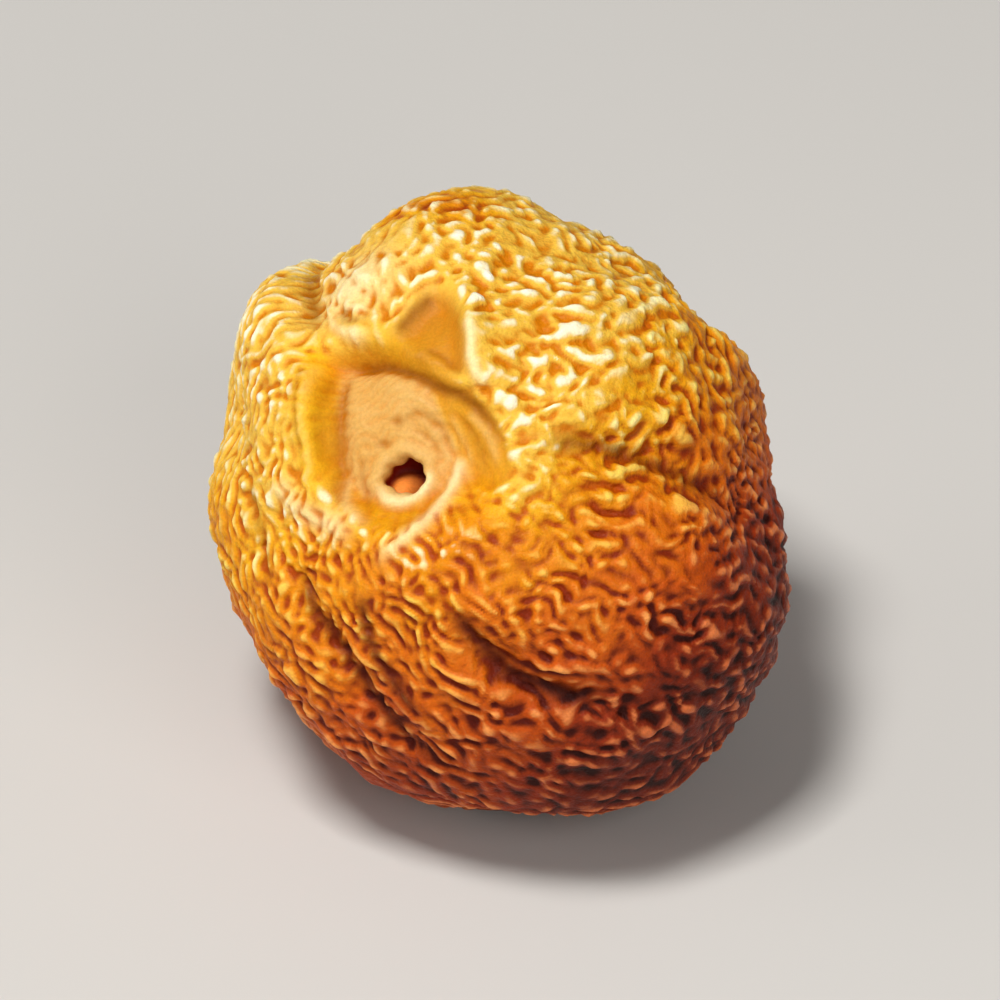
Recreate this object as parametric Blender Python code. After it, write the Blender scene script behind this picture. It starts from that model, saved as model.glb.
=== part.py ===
"""A whole dried apricot, shrivelled on its stone. It lies on one cheek with its stem end raised and
turned forward, and rests on a small pressed flat.

The skin is one closed surface round the stone. Each of its points is given by a direction from the
middle of the fruit and a distance along it, and the distance is a full round form less the stem hollow
and the folds, plus the puckers of the dried skin.

Places near the stem are given on a map of the skin, to the right of the stem and above it, as seen
facing the stem end. A bearing is an angle on the same map, anticlockwise from the right.
"""

import math

import bmesh
import bpy
import numpy as np
from mathutils import Matrix

MM = 0.001

# Driving dimensions
CHEEK_RADIUS = 13.9 * MM
STEM_HALF = 12.6 * MM
APEX_HALF = 13.2 * MM
SKIN_RADIUS = 12.5 * MM
FULLNESS = 2.15
REST_FLAT_DEPTH = 0.8 * MM

# How the fruit lies: turned about its own axis, laid over from upright, then swung round
ROLL = 20.7
LAID_OVER = 50.7
SWING = -30.8

# Cells along each edge of the cube that is rounded into the fruit
GRID = 31

# How much closer the cells lie at the stem than halfway to the apex
STEM_CROWDING = 0.32

# Swellings and flats of the cheeks: bearing and half width in degrees, height
CHEEKS = (
    {"name": "top of the right lobe", "bearing": 97, "width": 10, "height": 0.85},
    {"name": "upper right flat", "bearing": 47, "width": 27, "height": -1.15},
    {"name": "right flat", "bearing": 5, "width": 24, "height": -1.7},
    {"name": "low right swelling", "bearing": -52, "width": 34, "height": 1.65},
    {"name": "low swelling", "bearing": -85, "width": 20, "height": 0.4},
    {"name": "low left swelling", "bearing": -112, "width": 20, "height": 0.3},
    {"name": "left flat", "bearing": -150, "width": 30, "height": -0.5},
    {"name": "left hollow", "bearing": 163, "width": 14, "height": -1.2},
    {"name": "left lobe", "bearing": 137, "width": 17, "height": 1.2},
    {"name": "between the lobes", "bearing": 119, "width": 7, "height": -0.8},
)

# How far behind the middle, as a share of the way to the apex, the cheeks start to fade
CHEEKS_FADE_FROM = -0.2

# The sunken floor round the stem, the smaller pit above it and the scar of the stalk: outline, depth,
# how far the shoulder reaches outside the outline and the wall inside it, and the width of the wall on
# its gentle side
HOLLOWS = (
    {
        "name": "stem floor",
        "outline": (
            (5.8, -0.4),
            (5.6, -1.5),
            (4.4, -2.3),
            (2.9, -3.0),
            (1.4, -3.5),
            (-0.1, -3.7),
            (-1.7, -2.9),
            (-2.9, -1.9),
            (-3.6, -0.6),
            (-3.9, 0.9),
            (-3.9, 2.6),
            (-4.2, 4.3),
            (-4.5, 6.0),
            (-2.6, 6.3),
            (-1.1, 6.1),
            (0.6, 5.4),
            (1.8, 4.7),
            (3.0, 3.8),
            (4.1, 3.0),
            (4.9, 1.9),
            (5.5, 0.8),
        ),
        "depth": 1.4,
        "shoulder": 0.3,
        "wall": 0.4,
        "gentle": 2.4,
    },
    {
        "name": "upper pit",
        "outline": (
            (-0.9, 6.0),
            (-0.3, 7.0),
            (0.3, 8.0),
            (1.0, 8.9),
            (1.9, 8.6),
            (2.6, 7.7),
            (3.1, 6.4),
            (3.4, 4.7),
            (2.5, 4.4),
            (1.4, 4.9),
            (0.2, 5.5),
        ),
        "depth": 0.9,
        "shoulder": 0.4,
        "wall": 0.8,
        "gentle": 0.8,
    },
    {
        "name": "scar",
        "outline": (
            (1.05, -0.1),
            (0.75, 0.65),
            (0.0, 0.95),
            (-0.75, 0.65),
            (-1.05, -0.1),
            (-0.75, -0.85),
            (0.0, -1.15),
            (0.75, -0.85),
        ),
        "depth": 1.4,
        "shoulder": 0.25,
        "wall": 0.6,
        "gentle": 0.6,
    },
)

# The bearing of the gentle side, and how far towards it the wall turns from steep to gentle
GENTLE_BEARING = math.radians(-45)
GENTLE_FROM = -3.0 * MM
GENTLE_TO = 2.0 * MM

# How far outside and inside the outlines the puckers stop
BARE_EDGE = 0.7 * MM

# Dents and swellings: place, half lengths along and across, angle of the long one in degrees, height
SWELLINGS = (
    {"name": "pale blister", "at": (-3.3, 9.3), "half": (1.9, 1.4), "turn": 20, "height": 0.7},
    {"name": "blister lip", "at": (-2.9, 7.2), "half": (1.7, 0.6), "turn": -8, "height": 0.45},
    {"name": "left shoulder", "at": (-7.5, 3.5), "half": (5.0, 2.2), "turn": 80, "height": 0.35},
    {"name": "right lip", "at": (4.3, 5.3), "half": (2.8, 1.0), "turn": -66, "height": 0.4},
    {"name": "low shoulder", "at": (-0.6, -5.6), "half": (4.5, 1.6), "turn": 5, "height": 0.35},
    {"name": "low bump", "at": (3.2, -3.4), "half": (0.9, 0.9), "turn": 0, "height": 0.35},
    {"name": "scar collar", "at": (0.1, -0.1), "half": (2.0, 2.0), "turn": 0, "height": 0.35},
)

# Creases: the places that each runs through, half width, depth and the swelling of its two sides.
# One with a negative depth is a ridge.
CREASES = (
    {
        "name": "suture",
        "path": ((-4.6, 6.7), (-5.7, 8.2), (-7.0, 10.1), (-8.6, 12.4), (-11.5, 17.5), (-14.0, 25.0)),
        "width": 0.75,
        "depth": 0.85,
        "side": 0.15,
    },
    {
        "name": "left foot",
        "path": ((-4.1, 5.6), (-3.7, 4.2), (-3.5, 2.5), (-3.6, 0.8), (-3.1, -0.8), (-2.2, -2.1)),
        "width": 0.5,
        "depth": 0.2,
        "side": 0.1,
    },
    {
        "name": "low arc",
        "path": ((3.2, 1.1), (2.9, -0.2), (2.4, -1.3), (1.7, -2.2), (0.3, -3.3), (-1.1, -4.2)),
        "width": 0.5,
        "depth": -0.27,
        "side": 0.0,
    },
    {
        "name": "pit edge",
        "path": ((2.9, 7.6), (3.4, 6.5), (3.5, 5.2), (3.9, 4.3), (4.7, 3.3)),
        "width": 0.5,
        "depth": -0.4,
        "side": 0.0,
    },
    {
        "name": "floor fold",
        "path": (
            (-4.2, 5.8),
            (-2.6, 5.8),
            (-1.2, 5.6),
            (0.6, 4.9),
            (1.8, 4.2),
            (3.2, 3.5),
            (4.3, 2.6),
            (5.2, 1.3),
            (5.7, 0.0),
        ),
        "width": 0.5,
        "depth": 0.3,
        "side": 0.1,
    },
    {
        "name": "cheek fold",
        "path": ((6.6, 0.9), (10.7, 1.1), (14.4, 0.1), (19.0, -1.5)),
        "width": 0.8,
        "depth": 0.35,
        "side": 0.2,
    },
    {
        "name": "low fold",
        "path": ((2.5, -5.8), (3.3, -7.4), (4.6, -9.2), (6.8, -10.4), (10.0, -11.2), (14.0, -12.0)),
        "width": 0.75,
        "depth": 0.45,
        "side": 0.25,
    },
    {
        "name": "left fold",
        "path": ((-5.3, -3.7), (-5.1, -5.6), (-4.0, -7.7), (-2.4, -11.2), (0.5, -15.0)),
        "width": 0.7,
        "depth": 0.35,
        "side": 0.2,
    },
    {
        "name": "back fold",
        "path": ((15.0, 20.0), (17.5, 24.0), (15.5, 30.0)),
        "width": 1.3,
        "depth": 0.6,
        "side": 0.3,
    },
    {
        "name": "lower back fold",
        "path": ((-17.0, -2.0), (-24.0, -6.0), (-29.0, -15.0)),
        "width": 1.2,
        "depth": 0.7,
        "side": 0.35,
    },
)

# The swellings beside a crease, in half widths of it, and how long its two ends take to fade out
FLANK_AT = 1.9
FLANK_HALF = 0.95
FADE_IN = 0.12
FADE_OUT = 0.45

# The point opposite the stem
APEX_TIP = 0.7 * MM
APEX_TIP_HALF = 14.0
APEX_DIMPLE = -0.9 * MM
APEX_DIMPLE_HALF = 30.0

# Steps that a smooth line takes between two of its places
SPAN_STEPS = 6

# Broad unevenness of the dried flesh, the puckers of the skin, and how they come and go: pitch,
# length of a ridge over its pitch, height
LUMPS = {"pitch": 9.0 * MM, "length": 0.9, "height": 0.32 * MM, "seed": 5}
PUCKERS = {"pitch": 2.8 * MM, "length": 1.3, "height": 0.28 * MM, "seed": 11}
PUCKER_SPREAD = {"pitch": 7.0 * MM, "length": 1.0, "least": 0.5, "seed": 21}

# Packets of ridges: their spacing and half size over the pitch, and how much the pitch, the places
# and the directions vary from one to the next
PACKET_SPACING = 1.15
PACKET_HALF = 0.8
PACKET_REACH = 3
PITCH_SPREAD = 0.12
PLACE_SPREAD = 0.6
RIDGE_SPREAD = math.radians(34)

# Roundness of the furrows, and the height of the ridges that stays on the full form
FURROW_ROUNDING = 0.02
RIDGE_MIDDLE = 0.75

# How near the underside the puckers are pressed out, from none to most, and the share that goes
PRESSED_FROM = math.cos(math.radians(38))
PRESSED_TO = math.cos(math.radians(20))
PRESSED_SHARE = 0.8

# How far the ridges are turned off the lines from stem to apex: most beside the suture, then less
# and less round the fruit between two angles from it, and not at all close to the stem
SWIRL_TURN = math.radians(-80)
SUTURE_BEARING = math.radians(125)
SWIRL_FROM = math.radians(55)
SWIRL_TO = math.radians(220)
SWIRL_START = math.cos(math.radians(10))
SWIRL_FULL = math.cos(math.radians(50))

SKIN_COLOUR = (0.78, 0.36, 0.05, 1.0)
SKIN_ROUGHNESS = 0.55


def unit(vectors):
    """The vectors, each at length one."""
    return vectors / np.linalg.norm(vectors, axis=-1, keepdims=True)


def smooth_step(values, low, high):
    """Zero below low, one above high, and an even S between them."""
    share = np.clip((values - low) / (high - low), 0, 1)
    return share * share * (3 - 2 * share)


def stem_map(directions):
    """Each direction's place on the map round the stem scar, as (right, up) in metres."""
    from_stem = np.arccos(np.clip(directions[:, 2], -1, 1))
    bearing = np.arctan2(directions[:, 1], directions[:, 0])
    reach = SKIN_RADIUS * from_stem
    return np.stack([reach * np.cos(bearing), reach * np.sin(bearing)], axis=1)


def on_skin(places):
    """The directions of places on the map round the stem scar."""
    reach = np.linalg.norm(places, axis=1)
    across = places * (np.sin(reach / SKIN_RADIUS) / np.maximum(reach, 1e-9))[:, None]
    return np.column_stack([across, np.cos(reach / SKIN_RADIUS)])


def smooth_line(places, closed):
    """A smooth line through the places, as many points close together."""
    places = np.array(places) * MM
    ring = [places[-1], *places, *places[:2]]
    ends = [2 * places[0] - places[1], *places, 2 * places[-1] - places[-2]]
    knots = np.array(ring if closed else ends)
    before, start, end, after = knots[:-3], knots[1:-2], knots[2:-1], knots[3:]
    shares = np.linspace(0, 1, SPAN_STEPS, endpoint=False)
    line = [
        0.5 * (2 * start + (end - before) * share)
        + 0.5 * (2 * before - 5 * start + 4 * end - after) * share**2
        + 0.5 * (3 * start - before - 3 * end + after) * share**3
        for share in shares
    ]
    line = np.stack(line, axis=1).reshape(-1, 2)
    return np.concatenate([line, line[:1] if closed else places[-1:]])


def along_line(points, line):
    """How far each point is from the line, and its share of the way along it."""
    lengths = np.linalg.norm(np.diff(line, axis=0), axis=1)
    run = np.concatenate([[0], np.cumsum(lengths)])
    nearest = np.full(len(points), np.inf)
    share = np.zeros(len(points))
    for start, end, length, begun in zip(line, line[1:], lengths, run):
        t = np.clip((points - start) @ (end - start) / length**2, 0, 1)
        gap = np.linalg.norm(points - start - t[:, None] * (end - start), axis=1)
        closer = gap < nearest
        nearest[closer] = gap[closer]
        share[closer] = (begun + t[closer] * length) / run[-1]
    return nearest, share


def depth_inside(places, outline):
    """How far each place lies inside a closed outline: negative outside it."""
    gap, _ = along_line(places, outline)
    inside = np.zeros(len(places), bool)
    for (x0, y0), (x1, y1) in zip(outline, outline[1:]):
        crosses = (y0 > places[:, 1]) != (y1 > places[:, 1])
        slope = (x1 - x0) / (y1 - y0 if y1 != y0 else 1e-12)
        inside ^= crosses & (places[:, 0] < x0 + slope * (places[:, 1] - y0))
    return np.where(inside, gap, -gap)


def lying_turn():
    """The turn from the upright fruit, stem on top, to the fruit as it lies."""
    turn = (
        Matrix.Rotation(math.radians(SWING), 3, "Z")
        @ Matrix.Rotation(math.radians(LAID_OVER), 3, "X")
        @ Matrix.Rotation(math.radians(ROLL), 3, "Z")
    )
    return np.array(turn)


def full_form(directions):
    """Distance to the skin of the fruit before its folds: a full round form with uneven cheeks."""
    bearing = np.arctan2(directions[:, 1], directions[:, 0])
    radius = np.full(len(directions), CHEEK_RADIUS)
    reach = smooth_step(directions[:, 2], -1, CHEEKS_FADE_FROM)
    for cheek in CHEEKS:
        off = np.angle(np.exp(1j * (bearing - math.radians(cheek["bearing"]))))
        shape = np.exp(-((off / math.radians(cheek["width"])) ** 2))
        radius += cheek["height"] * MM * reach * shape
    across = np.linalg.norm(directions[:, :2], axis=1) / radius
    half = np.where(directions[:, 2] > 0, STEM_HALF, APEX_HALF)
    along = np.abs(directions[:, 2]) / half
    return (across**FULLNESS + along**FULLNESS) ** (-1 / FULLNESS)


def hollow(places, outline, depth, shoulder, wall, gentle):
    """The dent of a hollow with a level floor, and how far each place lies inside its outline."""
    inside = depth_inside(places, smooth_line(outline, closed=True))
    towards = places @ (math.cos(GENTLE_BEARING), math.sin(GENTLE_BEARING))
    width = wall + (gentle - wall) * smooth_step(towards, GENTLE_FROM, GENTLE_TO)
    return -depth * MM * smooth_step(inside, -shoulder * MM, width * MM), inside


def swelling(places, at, half, turn, height):
    """A rounded swelling, or with a negative height a dent."""
    off = places - np.array(at) * MM
    c, s = math.cos(math.radians(turn)), math.sin(math.radians(turn))
    along = (off[:, 0] * c + off[:, 1] * s) / (half[0] * MM)
    across = (off[:, 1] * c - off[:, 0] * s) / (half[1] * MM)
    return height * MM * np.exp(-(along**2) - across**2)


def crease(directions, path, width, depth, side):
    """A crease between two low swellings, fading out at both ends."""
    gap, share = along_line(directions, on_skin(smooth_line(path, closed=False)))
    gap = gap * SKIN_RADIUS / (width * MM)
    fade = smooth_step(share, 0, FADE_IN) * smooth_step(1 - share, 0, FADE_OUT)
    flanks = side * np.exp(-(((gap - FLANK_AT) / FLANK_HALF) ** 2))
    return fade * MM * (flanks - depth * np.exp(-(gap**2)))


def apex(directions):
    """The blunt tip opposite the stem, standing in a shallow dimple."""
    from_apex = np.degrees(np.arccos(np.clip(-directions[:, 2], -1, 1)))
    tip = APEX_TIP * np.exp(-((from_apex / APEX_TIP_HALF) ** 2))
    return tip + APEX_DIMPLE * np.exp(-((from_apex / APEX_DIMPLE_HALF) ** 2))


def evenly_spread(count, generator):
    """About even directions all round, each moved a little from its place on a spiral."""
    index = np.arange(count) + 0.5
    height = 1 - 2 * index / count
    turn = math.pi * (1 + math.sqrt(5)) * index
    level = np.sqrt(1 - height**2)
    spiral = np.stack([level * np.cos(turn), level * np.sin(turn), height], axis=1)
    return unit(spiral + generator.normal(0, PLACE_SPREAD / math.sqrt(count), (count, 3)))


def ridge_directions(centres, generator):
    """At each centre, the way across the ridges and the way along them, in the skin's plane."""
    across = unit(np.cross([0, 0, 1], centres) + 1e-6)
    along = np.cross(across, centres)
    bearing = np.arctan2(centres[:, 1], centres[:, 0])
    round_fruit = smooth_step((bearing - SUTURE_BEARING) % (2 * math.pi), SWIRL_FROM, SWIRL_TO)
    off_stem = smooth_step(-centres[:, 2], -SWIRL_START, -SWIRL_FULL)
    turn = SWIRL_TURN * (1 - round_fruit) * off_stem
    turn += generator.normal(0, RIDGE_SPREAD, len(centres))
    c, s = np.cos(turn)[:, None], np.sin(turn)[:, None]
    return across * c + along * s, along * c - across * s


def waves(directions, pitch, length, seed):
    """Uneven waves over the skin, about minus one to one: many short packets of parallel ridges, each
    with its own direction and phase, that run into their neighbours."""
    generator = np.random.default_rng(seed)
    pitch = pitch / CHEEK_RADIUS
    spacing = PACKET_SPACING * pitch * math.sqrt(length)
    centres = evenly_spread(int(4 * math.pi / spacing**2), generator)
    across, along = ridge_directions(centres, generator)
    phases = generator.uniform(0, 2 * math.pi, len(centres))
    rates = 2 * math.pi / pitch * generator.normal(1, PITCH_SPREAD, len(centres))
    half_across, half_along = PACKET_HALF * pitch, PACKET_HALF * pitch * length
    total = np.zeros(len(directions))
    weight = np.full(len(directions), 1e-9)
    for centre, u, v, phase, rate in zip(centres, across, along, phases, rates):
        near = np.nonzero(directions @ centre > math.cos(min(PACKET_REACH * half_along, math.pi)))[0]
        off = directions[near] - centre
        x, y = off @ u, off @ v
        share = np.exp(-((x / half_across) ** 2) - (y / half_along) ** 2)
        total[near] += share * np.cos(rate * x + phase)
        weight[near] += share**2
    return total / np.sqrt(weight)


def lumps(directions):
    """Broad unevenness of the dried flesh."""
    return LUMPS["height"] * waves(directions, LUMPS["pitch"], LUMPS["length"], LUMPS["seed"])


def puckers(directions):
    """The puckers of the skin: rounded ridges with narrower furrows, stronger in some places."""
    swell = waves(directions, 2 * PUCKERS["pitch"], PUCKERS["length"], PUCKERS["seed"])
    ridges = np.sqrt(swell**2 + FURROW_ROUNDING) - RIDGE_MIDDLE
    spread = waves(
        directions, PUCKER_SPREAD["pitch"], PUCKER_SPREAD["length"], PUCKER_SPREAD["seed"]
    )
    strength = PUCKER_SPREAD["least"] + (1 - PUCKER_SPREAD["least"]) * smooth_step(spread, -1, 1)
    return PUCKERS["height"] * strength * ridges


def skin_distance(directions):
    """Distance from the middle of the fruit to its skin, for each direction."""
    places = stem_map(directions)
    distance = full_form(directions) + apex(directions)
    outside = np.ones(len(directions))
    for dent in HOLLOWS:
        shape = {key: value for key, value in dent.items() if key != "name"}
        sunk, inside = hollow(places, **shape)
        distance += sunk
        outside *= 1 - smooth_step(inside, -BARE_EDGE, BARE_EDGE)
    for dent in SWELLINGS:
        distance += swelling(places, dent["at"], dent["half"], dent["turn"], dent["height"])
    for fold in CREASES:
        distance += crease(directions, fold["path"], fold["width"], fold["depth"], fold["side"])
    underside = directions @ lying_turn().T @ (0, 0, -1)
    pressed = PRESSED_SHARE * smooth_step(underside, PRESSED_FROM, PRESSED_TO)
    return distance + (1 - pressed) * (lumps(directions) + outside * puckers(directions))


def rounded_cube(cells):
    """A cube with that many cells along each edge, rounded to a ball with nearly even cells that
    are then drawn towards the stem, where the skin has its finest folds."""
    mesh = bmesh.new()
    bmesh.ops.create_cube(mesh, size=2)
    bmesh.ops.subdivide_edges(mesh, edges=mesh.edges[:], cuts=cells - 1, use_grid_fill=True)
    points = np.array([vertex.co[:] for vertex in mesh.verts])
    ball = unit(np.tan(points * math.pi / 4))
    from_stem = np.arccos(np.clip(ball[:, 2], -1, 1))
    drawn = from_stem - STEM_CROWDING * np.sin(from_stem)
    bearing = np.arctan2(ball[:, 1], ball[:, 0])
    level = np.sin(drawn)
    return mesh, np.stack([level * np.cos(bearing), level * np.sin(bearing), np.cos(drawn)], axis=1)


def laid_down(points):
    """The points of the fruit as it lies, with the middle of its underside at the origin and the
    lowest part pressed flat."""
    points = points @ lying_turn().T
    low, high = points.min(axis=0), points.max(axis=0)
    points -= [(low[0] + high[0]) / 2, (low[1] + high[1]) / 2, low[2] + REST_FLAT_DEPTH]
    points[:, 2] = np.maximum(points[:, 2], 0)
    return points


def skin_material():
    material = bpy.data.materials.new("dried_skin")
    material.use_nodes = True
    shader = material.node_tree.nodes["Principled BSDF"]
    shader.inputs["Base Color"].default_value = SKIN_COLOUR
    shader.inputs["Roughness"].default_value = SKIN_ROUGHNESS
    shader.inputs["Metallic"].default_value = 0.0
    return material


def build_apricot(cells):
    """The apricot, as one closed solid."""
    mesh, directions = rounded_cube(cells)
    points = laid_down(directions * skin_distance(directions)[:, None])
    for vertex, point in zip(mesh.verts, points):
        vertex.co = point
    bmesh.ops.triangulate(mesh, faces=mesh.faces[:], quad_method="SHORT_EDGE")
    bmesh.ops.recalc_face_normals(mesh, faces=mesh.faces[:])
    data = bpy.data.meshes.new("apricot")
    mesh.to_mesh(data)
    mesh.free()
    data.shade_smooth()
    data.materials.append(skin_material())
    apricot = bpy.data.objects.new("apricot", data)
    bpy.context.scene.collection.objects.link(apricot)
    return apricot


def main():
    for leftover in list(bpy.data.objects):
        bpy.data.objects.remove(leftover)
    build_apricot(GRID)


main()
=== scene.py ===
import math

import bpy
import numpy as np
from mathutils import Matrix, Vector


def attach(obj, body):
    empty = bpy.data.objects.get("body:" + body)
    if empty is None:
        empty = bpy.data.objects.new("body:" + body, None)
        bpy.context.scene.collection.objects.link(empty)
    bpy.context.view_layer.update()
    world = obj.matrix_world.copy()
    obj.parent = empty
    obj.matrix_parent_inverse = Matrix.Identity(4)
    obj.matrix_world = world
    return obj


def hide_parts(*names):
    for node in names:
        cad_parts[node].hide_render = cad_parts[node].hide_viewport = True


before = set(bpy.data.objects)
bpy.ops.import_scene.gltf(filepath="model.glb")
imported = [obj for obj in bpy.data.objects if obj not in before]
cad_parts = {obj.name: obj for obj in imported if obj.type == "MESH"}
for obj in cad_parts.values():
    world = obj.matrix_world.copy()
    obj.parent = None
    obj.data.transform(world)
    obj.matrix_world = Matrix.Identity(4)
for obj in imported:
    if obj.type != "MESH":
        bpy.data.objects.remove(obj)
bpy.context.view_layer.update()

mm = 0.001

# How the fruit lies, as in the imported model. Places near the stem are given on a map of the skin,
# in millimetres to the right of the stem and above it, as seen facing the stem end.
lie = {
    "roll": 20.7,  # degrees about its own axis
    "laidOver": 50.7,  # degrees from stem up
    "swing": -30.8,  # degrees about the vertical
    "middle": (0.042 * mm, 0.32 * mm, 13.275 * mm),
    "radius": 13.9 * mm,  # of the cheeks, where the wrinkles have their stated pitch
    "mapRadius": 12.5,  # turns an angle from the stem into millimetres on the map
}


def lyingTurn():
    swing = Matrix.Rotation(math.radians(lie["swing"]), 3, "Z")
    laidOver = Matrix.Rotation(math.radians(lie["laidOver"]), 3, "X")
    roll = Matrix.Rotation(math.radians(lie["roll"]), 3, "Z")
    return np.array(swing @ laidOver @ roll)


def unit(vectors):
    return vectors / np.maximum(np.linalg.norm(vectors, axis=-1, keepdims=True), 1e-12)


def ease(values, low, high):
    share = np.clip((values - low) / (high - low), 0, 1)
    return share * share * (3 - 2 * share)


def mapOf(ways):  # directions from the middle, stem up, to places on the map
    reach = lie["mapRadius"] * np.arccos(np.clip(ways[:, 2], -1, 1))
    bearing = np.arctan2(ways[:, 1], ways[:, 0])
    return np.stack([reach * np.cos(bearing), reach * np.sin(bearing)], axis=1)


# The skin: a dense rounded cube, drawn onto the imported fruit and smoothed
skinShape = {
    "cuts": (15, 7),  # 16 x 8 = 128 cells along each edge of the cube
    "crowding": 0.25,  # how much closer the cells lie at the stem
    "startRadius": 19 * mm,  # outside the fruit all round, before it is drawn in
    "smoothing": {"factor": 0.5, "iterations": 14},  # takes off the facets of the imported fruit
}


def getPoints(piece):
    points = np.empty(len(piece.data.vertices) * 3, np.float32)
    piece.data.vertices.foreach_get("co", points)
    return points.reshape(-1, 3).astype(float)


def setPoints(piece, points):
    piece.data.vertices.foreach_set("co", points.astype(np.float32).ravel())
    piece.data.update()


def pointNormals(piece):
    normals = np.empty(len(piece.data.vertices) * 3, np.float32)
    piece.data.vertex_normals.foreach_get("vector", normals)
    return normals.reshape(-1, 3).astype(float)


def applyModifier(piece, kind, **settings):
    modifier = piece.modifiers.new(kind.title(), kind)
    for name, value in settings.items():
        setattr(modifier, name, value)
    bpy.ops.object.modifier_apply(modifier=modifier.name)


def drawnToStem(ways):
    angle = np.arccos(np.clip(ways[:, 2], -1, 1))
    angle -= skinShape["crowding"] * np.sin(angle)
    bearing = np.arctan2(ways[:, 1], ways[:, 0])
    level = np.sin(angle)
    return np.stack([level * np.cos(bearing), level * np.sin(bearing), np.cos(angle)], axis=1)


def makeSkin():
    bpy.ops.object.select_all(action="DESELECT")
    bpy.ops.mesh.primitive_cube_add(size=2)  # from minus one to one, for the tangent below
    skin = bpy.context.object
    skin.name = "apricot_skin"
    bpy.ops.object.mode_set(mode="EDIT")
    for cuts in skinShape["cuts"]:
        bpy.ops.mesh.subdivide(number_cuts=cuts)
    bpy.ops.object.mode_set(mode="OBJECT")
    ways = drawnToStem(unit(np.tan(getPoints(skin) * math.pi / 4)))  # the tangent evens the cells
    setPoints(skin, ways @ lyingTurn().T * skinShape["startRadius"] + lie["middle"])
    applyModifier(
        skin, "SHRINKWRAP", target=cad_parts["apricot"], wrap_method="PROJECT",
        use_negative_direction=True, use_positive_direction=False,
    )
    applyModifier(skin, "SMOOTH", **skinShape["smoothing"])
    bpy.ops.object.shade_smooth()
    return skin, ways


skin, ways = makeSkin()
print("skin drawn onto the packed fruit:", len(skin.data.polygons), "faces")


# Wrinkles: many short packets of ridges, each with its own way and phase, that run into each other
wrinkleShape = {
    # Broad worms on the upper right, finer folds elsewhere, and small beads all over. Pitch and
    # height are in millimetres, length is in pitches, and spread is how far ridges turn, in degrees.
    "worms": {"pitch": 1.15, "length": 0.9, "height": 0.27, "spread": 42, "seed": 31},
    "folds": {"pitch": 0.86, "length": 1.5, "height": 0.24, "spread": 30, "seed": 32},
    "beads": {"pitch": 0.62, "length": 0.9, "height": 0.12, "spread": 60, "seed": 33},
    "foldedShare": 0.5,  # this share is rounded ridges between creases, and the rest is waves
    "foldedGain": 1.5,  # makes those ridges as tall as the waves
    "evenLevel": 0.57,  # taken off them, so that as much lies above the skin as below it
    "creaseRounding": 0.012,
    "wormsTowards": (9.0, 7.0),  # the middle of the worms on the map
    "wormsReach": (8.0, 14.0),  # all worms within the first of it, none beyond the second
    "warp": {"pitch": 2.4, "reach": 0.16, "seeds": (42, 43, 44)},  # how far they wander, in millimetres
    "sutureBearing": 125,
    "swirlTurn": -80,  # degrees that ridges turn off the lines from the stem, beside the suture
    "swirlFromTo": (55, 220),  # where round the fruit, from the suture, the turn fades
    "swirlStart": (6, 26),  # degrees from the stem where the turn starts and is full
    "strength": {"pitch": 5.0, "least": 0.55, "seed": 41},  # strong and weak places
    "mostHeight": 0.42,
    "lessWhereBare": 0.9,
}

# One packet of ridges, in pitches
packetShape = {
    "spacing": 1.15,  # from packet to packet
    "half": 0.8,  # how soon it fades on each side
    "end": 2.4,  # where nothing is left of it, in halves
    "widest": 1.5,  # and the most that this may be, in radians
    "astray": 0.6,  # how far the packets stray from evenly spread places
    "uneven": 0.14,  # how much their pitches differ
}


def evenlySpread(count, draw):
    index = np.arange(count) + 0.5
    height = 1 - 2 * index / count
    level = np.sqrt(1 - height**2)
    spiral = math.pi * (1 + math.sqrt(5)) * index
    points = np.stack([level * np.cos(spiral), level * np.sin(spiral), height], axis=1)
    return unit(points + draw.normal(0, packetShape["astray"] / math.sqrt(count), (count, 3)))


def ridgeWays(centres, spread, draw):
    across = unit(np.cross([0, 0, 1], centres) + 1e-6)
    along = np.cross(across, centres)
    bearing = np.degrees(np.arctan2(centres[:, 1], centres[:, 0]))
    fromSuture = (bearing - wrinkleShape["sutureBearing"]) % 360
    fromStem = np.degrees(np.arccos(np.clip(centres[:, 2], -1, 1)))
    swirl = 1 - ease(fromSuture, *wrinkleShape["swirlFromTo"])
    swirl *= ease(fromStem, *wrinkleShape["swirlStart"])
    turn = np.radians(wrinkleShape["swirlTurn"] * swirl + draw.normal(0, spread, len(centres)))
    c, s = np.cos(turn)[:, None], np.sin(turn)[:, None]
    return across * c + along * s, along * c - across * s


def waves(ways, pitch, length, spread, seed):  # about minus one to one all over the fruit
    draw = np.random.default_rng(seed)
    pitch = pitch * mm / lie["radius"]
    spacing = packetShape["spacing"] * pitch * math.sqrt(length)
    centres = evenlySpread(int(4 * math.pi / spacing**2), draw)
    across, along = ridgeWays(centres, spread, draw)
    phases = draw.uniform(0, 2 * math.pi, len(centres))
    rates = 2 * math.pi / pitch * draw.normal(1, packetShape["uneven"], len(centres))
    halfAcross = packetShape["half"] * pitch
    halfAlong = halfAcross * length
    end = math.cos(min(packetShape["end"] * halfAlong, packetShape["widest"]))
    total = np.zeros(len(ways))
    weight = np.full(len(ways), 1e-9)
    for centre, u, v, phase, rate in zip(centres, across, along, phases, rates):
        near = np.nonzero(ways @ centre > end)[0]
        off = ways[near] - centre
        x, y = off @ u, off @ v
        share = np.exp(-((x / halfAcross) ** 2) - (y / halfAlong) ** 2)
        total[near] += share * np.cos(rate * x + phase)
        weight[near] += share**2
    return total / np.sqrt(weight)


def unevenness(ways, pitch, seed):  # waves that run no special way
    return waves(ways, pitch, 1.0, 90, seed)


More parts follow.
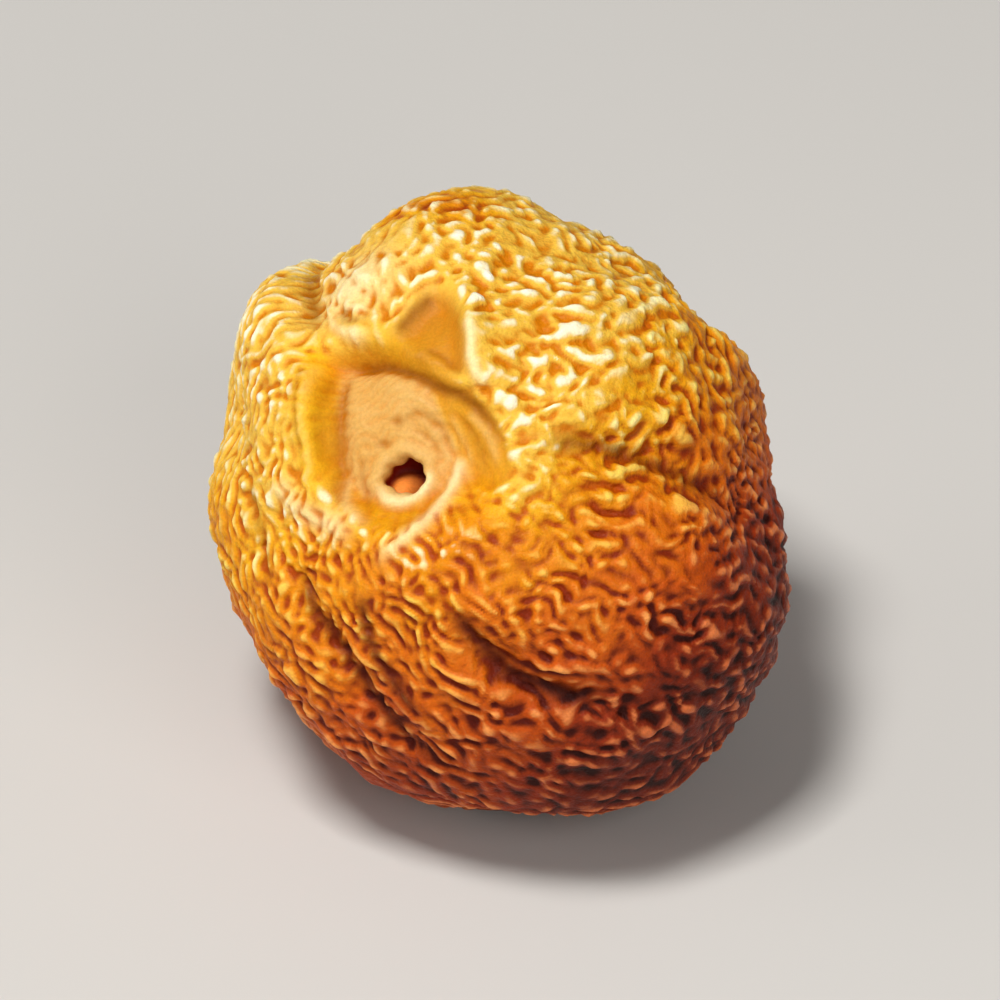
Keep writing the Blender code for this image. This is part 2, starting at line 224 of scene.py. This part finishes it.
def ridges(ways, layer):
    settings = layer["length"], layer["spread"], layer["seed"]
    folded = np.sqrt(waves(ways, 2 * layer["pitch"], *settings) ** 2 + wrinkleShape["creaseRounding"])
    folded -= wrinkleShape["evenLevel"]
    plain = waves(ways, layer["pitch"], *settings)
    share, gain = wrinkleShape["foldedShare"], wrinkleShape["foldedGain"]
    return layer["height"] * (share * gain * folded + (1 - share) * plain)


def wrinkleHeights(ways, bare):
    strength, warp, most = (wrinkleShape[name] for name in ("strength", "warp", "mostHeight"))
    uneven = ease(unevenness(ways, strength["pitch"], strength["seed"]), -1, 1)
    strengths = strength["least"] + (1 - strength["least"]) * uneven
    off = np.linalg.norm(mapOf(ways) - wrinkleShape["wormsTowards"], axis=1)
    worms = 1 - ease(off, *wrinkleShape["wormsReach"])
    wander = [unevenness(ways, warp["pitch"], seed) for seed in warp["seeds"]]
    ways = unit(ways + np.stack(wander, axis=1) * warp["reach"] * mm / lie["radius"])
    heights = worms * ridges(ways, wrinkleShape["worms"])
    heights += (1 - worms) * ridges(ways, wrinkleShape["folds"])
    heights += ridges(ways, wrinkleShape["beads"])
    heights = most * np.tanh(heights * strengths / most)
    return heights * (1 - wrinkleShape["lessWhereBare"] * bare)


# The stem end: the bare floor round the scar with its walls, the pit above it, lips and lines
stemEnd = {
    "floor": (
        (5.8, -0.4), (5.6, -1.5), (4.4, -2.3), (2.9, -3.0), (1.4, -3.5), (-0.1, -3.7), (-1.7, -2.9),
        (-2.9, -1.9), (-3.6, -0.6), (-3.9, 0.9), (-3.9, 2.6), (-4.2, 4.3), (-4.5, 6.0), (-2.6, 6.3),
        (-1.1, 6.1), (0.6, 5.4), (1.8, 4.7), (3.0, 3.8), (4.1, 3.0), (4.9, 1.9), (5.5, 0.8),
    ),
    "pit": (
        (-0.9, 6.0), (-0.3, 7.0), (0.3, 8.0), (1.0, 8.9), (1.9, 8.6), (2.6, 7.7), (3.1, 6.4),
        (3.4, 4.7), (2.5, 4.4), (1.4, 4.9), (0.2, 5.5),
    ),
    # no wrinkles in here: the floor, the steep walls and the right half of the gentle one
    "smooth": (
        (-3.9, 0.9), (-3.9, 2.6), (-4.2, 4.3), (-4.4, 5.8), (-2.6, 6.2), (-1.1, 6.0), (0.6, 5.4),
        (1.8, 4.7), (3.0, 3.8), (4.1, 3.0), (4.8, 1.9), (5.2, 0.8), (5.3, -0.2), (4.7, -0.8),
        (3.4, -0.5), (2.3, -1.3), (1.2, -2.1), (0.1, -2.5), (-1.4, -2.2), (-2.4, -1.5), (-3.4, -0.5),
    ),
    "smoothEdge": (-0.5, 0.0),  # where the wrinkles stop, in millimetres inside that outline
    # how far inside the pit the floor ends, its own colour starts and the wrinkles stop
    "pitEdge": {"floorEnds": (-0.4, 0.0), "tinted": (-0.25, 0.5), "bare": (-0.6, 0.0)},
    # The wall is steep on the upper left and gentle on the lower right: its two widths, where it
    # changes from one to the other, and its foot, from a share of its width to this far past it.
    "wall": {"steep": 0.4, "gentle": 2.4, "changes": (-3, 2), "footFrom": 0.75, "footPast": 0.15},
    "scar": {
        "at": (0.05, -0.1), "half": (1.12, 0.95), "deeper": 0.45,
        "ragged": 0.07, "lobes": ((3, 1), (7, 0)),  # how many there are round its rim, and their turn
        "sinks": (0.7, 1), "tinted": (0.75, 0.95),  # as shares of its radius
    },
    "collar": {"reach": 1.33, "half": 0.28, "height": 0.2},  # in scar radii, and its height in mm
    # the torn stub of the stalk in the scar, flat over this share of its radius
    "stub": {"at": (-0.2, -0.4), "radius": 0.62, "top": 0.25, "height": 0.95},
    # the dimples are darkened with painted shade
    "dimples": {"at": ((-0.3, 2.7), (-1.1, 1.6)), "half": (0.36, 0.22), "depth": 0.15, "dark": 0.55},
    # faint rings round the scar
    "rings": {"pitch": 0.55, "height": 0.035, "wander": 0.3, "wanderPitch": 1.8, "seed": 51},
    # Lines: places along one, its half width and its height, which is negative for a furrow, and how
    # strongly it is tinted pale (also a painted highlight on raised lips), darkened with painted shade
    # (on furrows) or tinted gold, or kept bare of wrinkles.
    "lines": (
        # the lip under the scar, and furrows round it
        {"path": ((1.45, 0.3), (1.3, -0.7), (0.7, -1.35), (-0.2, -1.5), (-1.0, -1.2), (-1.45, -0.3)),
         "half": 0.2, "height": 0.12, "pale": 0.9},
        {"path": ((-0.3, 2.7), (0.8, 3.0), (1.9, 2.4), (2.4, 1.4), (2.5, 0.6)),
         "half": 0.18, "height": -0.1, "dark": 0.25},
        {"path": ((0.5, 2.3), (1.3, 1.9), (1.8, 1.2), (1.9, 0.6)),
         "half": 0.15, "height": -0.08, "dark": 0.2},
        {"path": ((-2.2, 1.2), (-2.3, 0.0), (-1.9, -1.2), (-1.0, -2.0)),
         "half": 0.2, "height": -0.06, "dark": 0.3},
        # the lip of the gentle wall, the cream band beside it and a pale streak in it
        {"path": ((3.2, 1.1), (2.9, -0.2), (2.4, -1.3), (1.7, -2.2), (0.3, -3.3), (-1.1, -4.2)),
         "half": 0.28, "height": 0.18, "pale": 0.8, "bare": 0.5},
        {"path": ((-6.1, 0.3), (-5.5, -1.0), (-4.4, -1.8), (-3.1, -2.3), (-1.6, -3.0)),
         "half": 0.45, "height": 0.16, "pale": 0.75, "bare": 0.5},
        {"path": ((-3.2, 0.2), (-3.0, -1.0), (-2.3, -1.9), (-1.1, -2.6)),
         "half": 0.2, "height": 0.1, "pale": 0.4},
        # the golden left wall and its streaks
        {"path": ((-4.7, 7.2), (-4.7, 6.0), (-4.5, 4.3), (-4.35, 2.6), (-4.3, 1.1), (-4.1, -0.4),
                  (-3.6, -2.0)),
         "half": 0.45, "height": 0.0, "gold": 1.0, "bare": 0.3},
        {"path": ((-4.15, 5.6), (-4.05, 4.2), (-3.95, 2.6), (-3.95, 1.1), (-3.7, -0.4)),
         "half": 0.14, "height": -0.1, "dark": 0.4},
        {"path": ((-4.65, 5.9), (-4.5, 4.3), (-4.4, 2.7), (-4.35, 1.1), (-4.15, -0.5)),
         "half": 0.16, "height": 0.1, "pale": 0.12},
        {"path": ((-4.95, 5.6), (-4.85, 4.2), (-4.75, 2.7), (-4.7, 1.2), (-4.6, -0.2)),
         "half": 0.14, "height": -0.1, "dark": 0.4},
        # streaks of the right wall
        {"path": ((2.9, 2.9), (3.7, 1.9), (4.2, 0.8), (4.4, -0.3)),
         "half": 0.15, "height": -0.08, "dark": 0.3},
        {"path": ((3.4, 3.0), (4.3, 2.0), (4.85, 0.9), (5.0, -0.1)),
         "half": 0.16, "height": 0.08, "pale": 0.2},
        {"path": ((2.4, 3.1), (3.1, 1.9), (3.6, 0.7), (3.7, -0.4)),
         "half": 0.16, "height": 0.06, "pale": 0.15},
        # the golden shelf above the floor, and the furrows at the foot of the walls
        {"path": ((-4.8, 7.9), (-3.4, 7.0), (-2.0, 6.8), (-1.0, 6.5), (0.0, 5.9), (1.2, 5.3)),
         "half": 0.6, "height": 0.0, "gold": 0.4, "bare": 0.8},
        {"path": ((-3.5, 5.6), (-3.5, 4.2), (-3.45, 2.5), (-3.5, 0.8), (-3.2, -0.8), (-2.3, -2.2)),
         "half": 0.22, "height": -0.1, "dark": 0.45},
        {"path": ((-4.2, 5.8), (-2.6, 5.75), (-1.2, 5.6), (0.6, 4.9), (1.8, 4.2), (3.2, 3.5),
                  (4.3, 2.6), (5.2, 1.3), (5.7, 0.0)),
         "half": 0.2, "height": -0.12, "dark": 1.0},
        # the edges of the pit, darkened with painted shade, and its pale lip on the right, with a
        # painted highlight
        {"path": ((1.1, 5.9), (2.2, 5.3), (3.3, 4.2)), "half": 0.15, "height": -0.06, "dark": 0.5},
        {"path": ((1.1, 8.7), (0.4, 7.9), (-0.1, 7.1), (-0.6, 6.4)),
         "half": 0.2, "height": -0.05, "dark": 0.8},
        {"path": ((3.1, 7.0), (3.45, 6.0), (3.55, 5.1), (3.95, 4.2), (4.6, 3.4)),
         "half": 0.2, "height": 0.16, "pale": 1.0},
        # small folds under the blister
        {"path": ((-4.8, 8.6), (-4.0, 7.4), (-2.7, 6.75), (-1.3, 6.7)),
         "half": 0.22, "height": 0.16, "pale": 0.7},
        {"path": ((-4.0, 8.3), (-3.1, 7.5), (-1.9, 7.3)), "half": 0.2, "height": -0.12, "dark": 0.5},
        {"path": ((-3.7, 8.4), (-2.8, 8.0), (-1.8, 7.9)), "half": 0.26, "height": 0.2, "pale": 1.0},
        # the suture, and the creases that run away from the stem end
        {"path": ((-4.6, 6.7), (-5.7, 8.2), (-7.0, 10.1), (-8.6, 12.4), (-11.5, 17.5), (-14.0, 25.0)),
         "half": 0.3, "height": -0.12, "dark": 0.8},
        {"path": ((6.6, 0.9), (8.3, 1.3), (10.7, 1.1), (14.4, 0.1), (19.0, -1.5)),
         "half": 0.35, "height": -0.12, "dark": 0.8},
        {"path": ((2.5, -5.8), (3.3, -7.4), (4.6, -9.2), (6.8, -10.4), (9.5, -11.0)),
         "half": 0.35, "height": -0.14, "dark": 1.0},
        {"path": ((-5.3, -3.7), (-5.1, -5.6), (-4.0, -7.7), (-2.4, -11.2), (0.5, -15.0)),
         "half": 0.3, "height": -0.12, "dark": 0.9},
        {"path": ((-1.7, -5.2), (-1.9, -7.0), (-1.2, -9.4), (0.6, -11.8)),
         "half": 0.28, "height": -0.12, "dark": 0.9},
        {"path": ((-8.2, 0.5), (-8.0, -0.9), (-7.8, -2.2), (-7.4, -3.8), (-6.9, -5.7)),
         "half": 0.28, "height": -0.14, "dark": 0.45},
    ),
    # the pale swelling above the shelf, nearly bare of wrinkles
    "blister": {"at": (-3.3, 9.3), "half": (2.2, 1.6), "bare": 0.7},
    # where the crowns of the wrinkles get a nearly white painted highlight: place, half size, strength
    "bloom": (
        ((-4.9, -1.7), (2.2, 1.1), 0.9), ((-2.0, -2.6), (1.2, 0.7), 0.8), ((3.1, -3.3), (0.7, 0.6), 1.0),
        ((1.2, -3.7), (1.2, 0.7), 0.8), ((6.4, 5.0), (3.0, 3.2), 0.9), ((4.4, 9.3), (2.4, 2.2), 1.0),
        ((-6.8, 3.5), (1.6, 3.4), 0.8), ((-3.3, 9.3), (2.4, 1.8), 1.0), ((-8.6, 8.0), (3.0, 2.6), 0.6),
        ((2.0, 11.2), (2.4, 1.5), 1.0), ((-1.0, 13.6), (3.2, 1.2), 0.55),
    ),
}


# How every line is drawn
lineShape = {
    "steps": 6,  # from one of its places to the next
    "fades": (0.15, 0.3),  # over these shares of its length, at its start and end
    "tintWidth": 1.2,  # how much wider than itself its tint is
    "near": 0.975,  # cosine of the angle from it that is looked at
}


def smoothLine(places, closed=False):
    places = np.array(places, float)
    ring = [places[-1], *places, *places[:2]]
    ends = [2 * places[0] - places[1], *places, 2 * places[-1] - places[-2]]
    knots = np.array(ring if closed else ends)
    before, start, end, after = knots[:-3], knots[1:-2], knots[2:-1], knots[3:]
    line = [
        0.5 * (2 * start + (end - before) * t + (2 * before - 5 * start + 4 * end - after) * t**2
               + (3 * start - before - 3 * end + after) * t**3)
        for t in np.linspace(0, 1, lineShape["steps"], endpoint=False)
    ]
    line = np.stack(line, axis=1).reshape(-1, 2)
    return np.concatenate([line, line[:1] if closed else places[-1:]])


def wayOf(places):  # places on the map to directions from the middle
    reach = np.linalg.norm(places, axis=1)
    across = places * (np.sin(reach / lie["mapRadius"]) / np.maximum(reach, 1e-9))[:, None]
    return np.column_stack([across, np.cos(reach / lie["mapRadius"])])


def alongLine(points, line):  # how far each point is from the line, and its share of the way along
    lengths = np.linalg.norm(np.diff(line, axis=0), axis=1)
    begun = np.concatenate([[0], np.cumsum(lengths)])
    nearest, share = np.full(len(points), np.inf), np.zeros(len(points))
    for start, end, length, run in zip(line, line[1:], lengths, begun):
        t = np.clip((points - start) @ (end - start) / length**2, 0, 1)
        gap = np.linalg.norm(points - start - t[:, None] * (end - start), axis=1)
        closer = gap < nearest
        nearest[closer] = gap[closer]
        share[closer] = (run + t[closer] * length) / begun[-1]
    return nearest, share


def depthInside(places, outline):  # how far each place lies inside a closed outline
    outline = smoothLine(outline, closed=True)
    gap, _ = alongLine(places, outline)
    inside = np.zeros(len(places), bool)
    for (x0, y0), (x1, y1) in zip(outline, outline[1:]):
        crosses = (y0 > places[:, 1]) != (y1 > places[:, 1])
        inside ^= crosses & (places[:, 0] < x0 + (x1 - x0) / (y1 - y0 or 1e-12) * (places[:, 1] - y0))
    return np.where(inside, gap, -gap)


def nearSpot(places, at, half):
    off = (places - np.array(at)) / np.array(half)
    return np.exp(-(off**2).sum(axis=1))


def drawLines(ways, lines):
    heights = np.zeros(len(ways))
    tints = {name: np.zeros(len(ways)) for name in ("pale", "dark", "gold", "bare")}
    fadeIn, fadeOut = lineShape["fades"]
    for line in lines:
        path = wayOf(smoothLine(line["path"]))
        close = np.nonzero((ways @ path[::lineShape["steps"]].T).max(axis=1) > lineShape["near"])[0]
        gap, share = alongLine(ways[close], path)
        gap = gap * lie["mapRadius"] / line["half"]
        fade = ease(share, 0, fadeIn) * ease(1 - share, 0, fadeOut)
        tintFade = np.exp(-((gap / lineShape["tintWidth"]) ** 2))
        heights[close] += line["height"] * fade * np.exp(-(gap**2))
        # pale lips also carry a painted highlight, and dark furrows carry painted shade
        for name, tint in tints.items():
            tint[close] = np.maximum(tint[close], line.get(name, 0) * fade * tintFade)
    return heights, tints


def raiseScar(heights, ways, places, smooth):  # and its collar, with faint rings round them
    scar, collar, rings = stemEnd["scar"], stemEnd["collar"], stemEnd["rings"]
    off = (places - np.array(scar["at"])) / np.array(scar["half"])
    bearing = np.arctan2(off[:, 1], off[:, 0])
    lobes = sum(np.sin(count * bearing + turn) for count, turn in scar["lobes"])
    fromScar = np.linalg.norm(off, axis=1) * (1 + scar["ragged"] * lobes)  # one at its rim
    heights += collar["height"] * np.exp(-(((fromScar - collar["reach"]) / collar["half"]) ** 2))
    wander = rings["wander"] * unevenness(ways, rings["wanderPitch"], rings["seed"])
    heights += rings["height"] * smooth * np.cos(2 * math.pi * (fromScar / rings["pitch"] + wander))
    heights -= scar["deeper"] * (1 - ease(fromScar, *scar["sinks"]))
    return 1 - ease(fromScar, *scar["tinted"])


def shapeStemEnd(ways, places):
    floorInside = depthInside(places, stemEnd["floor"])
    pitInside = depthInside(places, stemEnd["pit"])
    smooth = ease(depthInside(places, stemEnd["smooth"]), *stemEnd["smoothEdge"])
    heights, tints = drawLines(ways, stemEnd["lines"])

    tints["scar"] = raiseScar(heights, ways, places, smooth)
    stub = stemEnd["stub"]
    fromStub = np.linalg.norm(places - np.array(stub["at"]), axis=1)
    tints["stub"] = 1 - ease(fromStub, stub["top"] * stub["radius"], stub["radius"])

    dimples = stemEnd["dimples"]
    for at in dimples["at"]:
        spot = nearSpot(places, at, dimples["half"])
        heights -= dimples["depth"] * spot
        # painted shade in the dimple
        tints["dark"] = np.maximum(tints["dark"], dimples["dark"] * spot)

    blister = stemEnd["blister"]
    spot = nearSpot(places, blister["at"], blister["half"])
    tints["pale"] = np.maximum(tints["pale"], spot)
    tints["bare"] = np.maximum(tints["bare"], blister["bare"] * spot)
    # spots where the crowns are painted nearly white, a painted highlight
    bloom = sum(strength * nearSpot(places, at, half) for at, half, strength in stemEnd["bloom"])
    tints["bloom"] = np.minimum(bloom, 1)

    wall, pitEdge = stemEnd["wall"], stemEnd["pitEdge"]
    towardsLowRight = (places[:, 0] - places[:, 1]) / math.sqrt(2)
    width = wall["steep"] + (wall["gentle"] - wall["steep"]) * ease(towardsLowRight, *wall["changes"])
    onFloor = ease(floorInside, wall["footFrom"] * width, width + wall["footPast"])
    tints["floor"] = smooth * onFloor * (1 - ease(pitInside, *pitEdge["floorEnds"]))
    tints["wall"] = smooth * (1 - onFloor)
    tints["pit"] = ease(pitInside, *pitEdge["tinted"])
    bare = np.maximum(np.maximum(smooth, ease(pitInside, *pitEdge["bare"])), tints.pop("bare"))
    return heights, tints, bare


def smoothed(piece, points, rounds):  # each moves a point half way to the middle of its neighbours
    edges = np.empty(len(piece.data.edges) * 2, np.int32)
    piece.data.edges.foreach_get("vertices", edges)
    a, b = edges.reshape(-1, 2).T
    count = np.bincount(np.concatenate([a, b]), minlength=len(points))
    for _ in range(rounds):
        total = [
            np.bincount(a, points[b, axis], len(points)) + np.bincount(b, points[a, axis], len(points))
            for axis in range(3)
        ]
        points = 0.5 * points + 0.5 * np.stack(total, axis=1) / count[:, None]
    return points


def addAttribute(piece, name, values):
    attribute = piece.data.attributes.new(name, "FLOAT", "POINT")
    attribute.data.foreach_set("value", values.astype(np.float32))


places = mapOf(ways)
stemHeights, tints, bare = shapeStemEnd(ways, places)
wrinkles = wrinkleHeights(ways, bare)
points = getPoints(skin) + pointNormals(skin) * ((stemHeights + wrinkles) * mm)[:, None]
points += np.outer(tints["stub"], lyingTurn()[:, 2]) * stemEnd["stub"]["height"] * mm  # straight out
points[:, 2] = np.maximum(points[:, 2], 0)  # it rests on its flat
points = smoothed(skin, points, 1)  # takes the saw teeth off ridges that run askew to the cells
setPoints(skin, points)
print("wrinkles, folds and stem end raised")

# How far the skin stands out of what is round it, in millimetres, for its colours: it places the painted
# highlight on crowns and the painted shade in creases
reliefShape = {
    "rounds": 20,  # of smoothing, which gives the level that it stands out of
    "wrinkleShare": 0.5,  # this share is the wrinkles' own height
}

# How far the colours go from the yellow side to the rust red one: which way that side faces, where
# on this way they start and end, and how much more rust red the lower right cheek gets as a painted
# shadow, and how much more the top gets
blush = {
    "side": {"towards": (0.36, -0.16, -0.92), "from": -0.63, "to": 0.65},
    # painted shadow: more rust red towards the lower right cheek
    "paintedShadow": {"towards": (0.75, -0.5, -0.35), "from": 0.6, "to": 0.95, "more": 0.4},
    "top": {"at": (-1, 14.5), "half": (5, 3), "more": 0.55},
}


def reliefOf(piece, points, wrinkles):
    level = smoothed(piece, points, reliefShape["rounds"])
    relief = ((points - level) * pointNormals(piece)).sum(axis=1) / mm
    share = reliefShape["wrinkleShare"]
    return (1 - share) * relief + share * wrinkles


def shareTowards(ways, side):  # nought where it starts, one where it ends
    lean = (ways @ lyingTurn().T) @ unit(np.array(side["towards"]))
    return (lean - side["from"]) / (side["to"] - side["from"])


def blushOf(ways, places):
    paintedShadow, top = blush["paintedShadow"], blush["top"]
    share = shareTowards(ways, blush["side"])
    # the painted shadow makes the lower right cheek more rust red
    share = share + paintedShadow["more"] * ease(shareTowards(ways, paintedShadow), 0, 1)
    return share + top["more"] * nearSpot(places, top["at"], top["half"])


addAttribute(skin, "relief", reliefOf(skin, points, wrinkles))
addAttribute(skin, "blush", blushOf(ways, places))
addAttribute(skin, "bare", bare)
for name, values in tints.items():
    addAttribute(skin, name, values)
print("relief, blush and tints painted on the skin")


def linear(red, green, blue):
    shares = [value / 255 for value in (red, green, blue)]
    return (*[s / 12.92 if s <= 0.04045 else ((s + 0.055) / 1.055) ** 2.4 for s in shares], 1)


class Wire:  # a socket, so that shader maths reads as plain sums
    def __init__(self, socket):
        self.socket = socket

    @classmethod
    def node(cls, tree, kind, settings, values, output=0):
        node = tree.nodes.new(kind)
        for name, value in settings.items():
            if name == "stops":
                setStops(node.color_ramp, value)
            else:
                setattr(node, name, value)
        for name, value in values.items():
            socket = node.inputs[name] if isinstance(name, int) else enabled(node.inputs, name)
            if isinstance(value, Wire):
                tree.links.new(value.socket, socket)
            else:
                socket.default_value = value
        return cls(node.outputs[output] if isinstance(output, int) else enabled(node.outputs, output))

    def maths(self, operation, *values):
        settings = {"operation": operation}
        return Wire.node(self.socket.id_data, "ShaderNodeMath", settings, dict(enumerate(values)))

    def __add__(self, other):
        return self.maths("ADD", self, other)

    def __sub__(self, other):
        return self.maths("SUBTRACT", self, other)

    def __rsub__(self, other):
        return self.maths("SUBTRACT", other, self)

    def __mul__(self, other):
        return self.maths("MULTIPLY", self, other)

    __radd__ = __add__
    __rmul__ = __mul__


def enabled(sockets, name):
    return next(socket for socket in sockets if socket.name == name and socket.enabled)


def setStops(ramp, stops):
    while len(ramp.elements) > 1:
        ramp.elements.remove(ramp.elements[-1])
    ramp.elements[0].position, ramp.elements[0].color = stops[0]
    for position, colour in stops[1:]:
        ramp.elements.new(position).color = colour


skinColours = {
    # from the pale yellow side through gold and orange to the rust red side
    "stops": (0.03, 0.12, 0.21, 0.36, 0.54, 0.76, 0.96),
    # crowns of the wrinkles, drawn lighter than the skin as a painted highlight
    "ridge": (
        (255, 246, 200), (255, 236, 148), (255, 216, 92), (254, 186, 72), (254, 166, 84), (240, 138, 74),
        (216, 112, 60),
    ),
    "skin": (
        (242, 190, 66), (238, 170, 24), (232, 146, 8), (220, 114, 8), (202, 84, 8), (152, 48, 8),
        (112, 32, 8),
    ),
    # creases, drawn darker than the skin as painted shade
    "crease": (
        (210, 122, 2), (196, 98, 1), (176, 72, 1), (140, 42, 1), (96, 20, 1), (60, 10, 1),
        (42, 7, 1),
    ),
    # for each, two tones that mottle it
    "floor": ((206, 148, 66), (230, 184, 112)),
    "wall": ((196, 118, 1), (230, 160, 3)),
    "gold": ((236, 158, 1), (255, 204, 6)),
    "pit": ((166, 88, 1), (210, 134, 2)),
    "scar": (116, 14, 2),
    "stub": (248, 146, 60),
    # pale cream of the lips and blister, which is also a painted highlight on the raised lips
    "pale": (252, 230, 172),
    # nearly white painted highlight on the crowns
    "bloom": (255, 248, 222),
    "black": (0, 0, 0),
    "reach": 0.8,  # how far along the stops the sunny side gets
}

skinSurface = {
    # scale and detail of each noise, from broad to fine
    "noises": {
        "patches": (110.0, 2.0), "mottle": (420.0, 3.0), "grain": (2200.0, 4.0), "specks": (7000.0, 2.0),
    },
    "blotches": {"patches": 0.32, "mottle": 0.32, "grain": 0.12},  # how far each moves the colour
    "grainInRelief": 0.05,
    "crown": (0.035, 0.175),  # from skin to crown, where the painted highlight goes, in millimetres of relief
    "crease": (-0.035, 0.105),  # and to crease, where the painted shade goes, in millimetres of depth
    # how strongly each colour covers what is under it
    "cover": {
        "ridge": 0.9, "wall": 0.75, "floor": 0.9, "pit": 0.8, "gold": 0.9, "pale": 0.8, "dark": 0.95,
        "stub": 0.9, "specks": 0.1,
    },
    # how much darker than a crease the painted shade of furrows and dimples is
    "recessShadeDarkness": 0.55,
    "speckEdge": (0.35, 0.65),
    "bump": {"specks": 0.3, "lessWhereBare": 0.6, "strength": 0.7, "distance": 0.2 * mm},
    "roughness": {"skin": 0.52, "crown": 0.12, "specks": 0.3},
    "shader": {
        "Specular IOR Level": 0.14, "Subsurface Weight": 0.1, "Subsurface Radius": (1.0, 0.4, 0.1),
        "Subsurface Scale": 0.4 * mm,
    },
}


def skinFinish():
    material = bpy.data.materials.new("driedSkin")
    material.use_nodes = True
    tree = material.node_tree
    shader = tree.nodes["Principled BSDF"]
    cover, bump, rough = (skinSurface[name] for name in ("cover", "bump", "roughness"))

    def node(kind, settings, values, output=0):
        return Wire.node(tree, kind, settings, values, output)

    def painted(name):
        return node("ShaderNodeAttribute", {"attribute_name": name}, {}, "Fac")

    def noise(scale, detail):
        return node("ShaderNodeTexNoise", {}, {"Vector": place, "Scale": scale, "Detail": detail})

    def between(value, low, high):
        values = {"Value": value, "From Min": low, "From Max": high}
        return node("ShaderNodeMapRange", {"interpolation_type": "SMOOTHSTEP"}, values)

    def mix(factor, first, second):
        values = {"Factor": factor, "A": first, "B": second}
        return node("ShaderNodeMix", {"data_type": "RGBA"}, values, "Result")

    def plain(name):
        return linear(*skinColours[name])

    def mottled(name):
        return mix(mottle, *(linear(*tone) for tone in skinColours[name]))

    def sideRamp(name):
        tones = (linear(*tone) for tone in skinColours[name])
        stops = list(zip(skinColours["stops"], tones))
        return node("ShaderNodeValToRGB", {"stops": stops}, {"Fac": side}, "Color")

    place = node("ShaderNodeTexCoord", {}, {}, "Object")
    noises = {name: noise(*shape) for name, shape in skinSurface["noises"].items()}
    mottle, grain, specks = noises["mottle"], noises["grain"], noises["specks"]
    side = painted("blush") * skinColours["reach"]
    for name, most in skinSurface["blotches"].items():
        side = side + (noises[name] - 0.5) * most
    relief = painted("relief") + (grain - 0.5) * skinSurface["grainInRelief"]
    crown = between(relief, *skinSurface["crown"])
    crease = between(relief * -1.0, *skinSurface["crease"])

    # the crowns are given a painted highlight
    colour = mix(crown * cover["ridge"], sideRamp("skin"), sideRamp("ridge"))
    # a nearly white painted highlight on the crowns in those spots
    colour = mix(crown * painted("bloom"), colour, plain("bloom"))
    for name in ("wall", "floor", "pit", "gold"):
        colour = mix(painted(name) * cover[name], colour, mottled(name))
    # pale cream, and a painted highlight on the raised lips
    colour = mix(painted("pale") * cover["pale"], colour, plain("pale"))
    # the creases are darkened with painted shade
    creaseColour = sideRamp("crease")
    colour = mix(crease, colour, creaseColour)
    # furrows and dimples darkened further with painted shade
    recessShadeColour = mix(skinSurface["recessShadeDarkness"], creaseColour, plain("black"))
    colour = mix(painted("dark") * cover["dark"], colour, recessShadeColour)
    colour = mix(painted("scar"), colour, plain("scar"))
    colour = mix(painted("stub") * cover["stub"], colour, plain("stub"))
    speckled = between(specks, *skinSurface["speckEdge"]) * cover["specks"]
    colour = mix(speckled, colour, plain("black"))
    tree.links.new(colour.socket, shader.inputs["Base Color"])

    height = (grain + specks * bump["specks"]) * (1 - painted("bare") * bump["lessWhereBare"])
    values = {"Height": height, "Strength": bump["strength"], "Distance": bump["distance"]}
    tree.links.new(node("ShaderNodeBump", {}, values).socket, shader.inputs["Normal"])
    roughness = rough["skin"] - crown * rough["crown"] + (specks - 0.5) * rough["specks"]
    tree.links.new(roughness.socket, shader.inputs["Roughness"])
    for name, value in skinSurface["shader"].items():
        shader.inputs[name].default_value = value
    return material


skin.data.materials.append(skinFinish())
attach(skin, "root")
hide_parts("apricot")
print("skin finished")


# Floor, light and camera
studio = {
    "floor": {"size": 3, "colour": (206, 202, 196), "roughness": 0.7},
    # the key from above, a broad fill from the front right and a low rim light from the left
    "softboxes": {
        "key": {"place": (-0.11, -0.13, 0.46), "size": 0.12, "power": 2.1},
        "fill": {"place": (0.22, -0.46, 0.3), "size": 0.4, "power": 1.2},
        "rim": {"place": (-0.42, -0.04, 0.1), "size": 0.2, "power": 0.4},
    },
    "world": 0.12,
    "elevation": 37,  # the photograph's viewing angle, in degrees
    "distance": 0.5,
    "lens": 385,
    "clipStart": 0.01,
}


def makeFloor():
    bpy.ops.object.select_all(action="DESELECT")
    bpy.ops.mesh.primitive_plane_add(size=studio["floor"]["size"])
    floor = bpy.context.object
    floor.name = "floor"
    material = bpy.data.materials.new("paleFloor")
    material.use_nodes = True
    shader = material.node_tree.nodes["Principled BSDF"]
    shader.inputs["Base Color"].default_value = linear(*studio["floor"]["colour"])
    shader.inputs["Roughness"].default_value = studio["floor"]["roughness"]
    floor.data.materials.append(material)


def addSoftbox(name, place, size, power):
    bpy.ops.object.light_add(type="AREA", location=place)
    lamp = bpy.context.object
    lamp.name = name
    lamp.data.size = size
    lamp.data.energy = power
    aim = Vector(lie["middle"]) - Vector(place)
    lamp.rotation_euler = aim.to_track_quat("-Z", "Y").to_euler()


def addCamera():
    elevation = math.radians(studio["elevation"])
    back = Vector((0, -math.cos(elevation), math.sin(elevation)))
    target = Vector(lie["middle"])
    bpy.ops.object.camera_add(location=target + back * studio["distance"])
    camera = bpy.context.object
    camera.rotation_euler = (-back).to_track_quat("-Z", "Y").to_euler()
    camera.data.lens = studio["lens"]
    camera.data.clip_start = studio["clipStart"]
    bpy.context.scene.camera = camera


def addWorld():
    world = bpy.data.worlds.new("studio")
    world.use_nodes = True
    background = world.node_tree.nodes["Background"]
    background.inputs["Color"].default_value = (1, 1, 1, 1)
    background.inputs["Strength"].default_value = studio["world"]
    bpy.context.scene.world = world


makeFloor()
for name, softbox in studio["softboxes"].items():
    addSoftbox(name, **softbox)
addWorld()
addCamera()
bpy.context.scene.view_settings.view_transform = "Standard"
print("floor, light and camera set")
